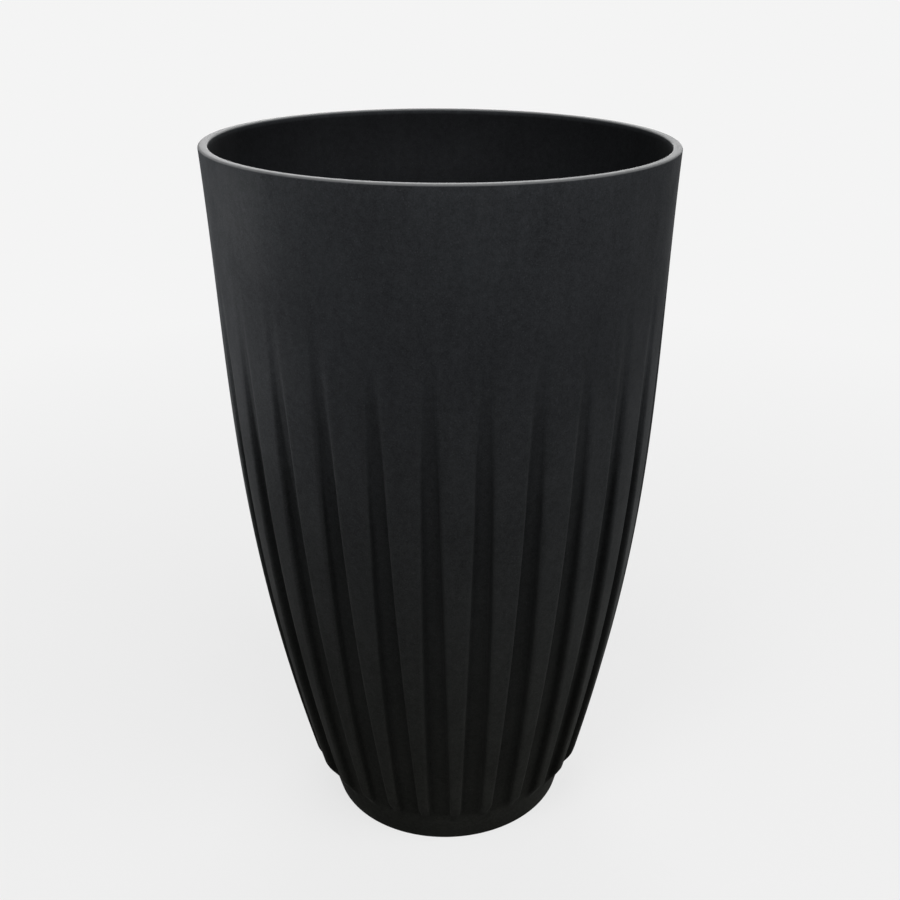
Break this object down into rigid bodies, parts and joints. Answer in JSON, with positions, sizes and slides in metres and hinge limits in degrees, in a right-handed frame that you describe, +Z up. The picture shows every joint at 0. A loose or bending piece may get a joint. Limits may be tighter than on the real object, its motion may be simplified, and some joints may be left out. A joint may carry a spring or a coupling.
{
  "type": "floor planter",
  "caption": "Tall round floor planter with a wide mouth, a side of tapered upright grooves and a plain foot, a lift-out drainage grate and a bung in its drain hole.",
  "frame": {"origin": "on the ground, at the centre of the ring that the pot stands on", "axes": "+Z up along the pot's axis, out of the mouth; -Y is the side that the picture shows, with a groove centred on it"},
  "size_m": [0.314, 0.314, 0.508],
  "materials": {
    "pot_shell": "matt charcoal black with a fine stone-like grain",
    "grate_plastic": "moulded black plastic, faint grain",
    "bung_rubber": "soft matt black rubber"
  },
  "bodies": {
    "pot": {"pot": "pot_shell"},
    "grate": {"drainage_grate": "grate_plastic"},
    "bung": {"drain_bung": "bung_rubber"}
  },
  "joints": [
    {"name": "grate_lift", "type": "slide", "parent": "pot", "child": "grate", "axis": [0, 0, 1], "range_m": [0, 0.52]},
    {"name": "bung_lift", "type": "slide", "parent": "pot", "child": "bung", "axis": [0, 0, 1], "range_m": [0, 0.54]}
  ]
}
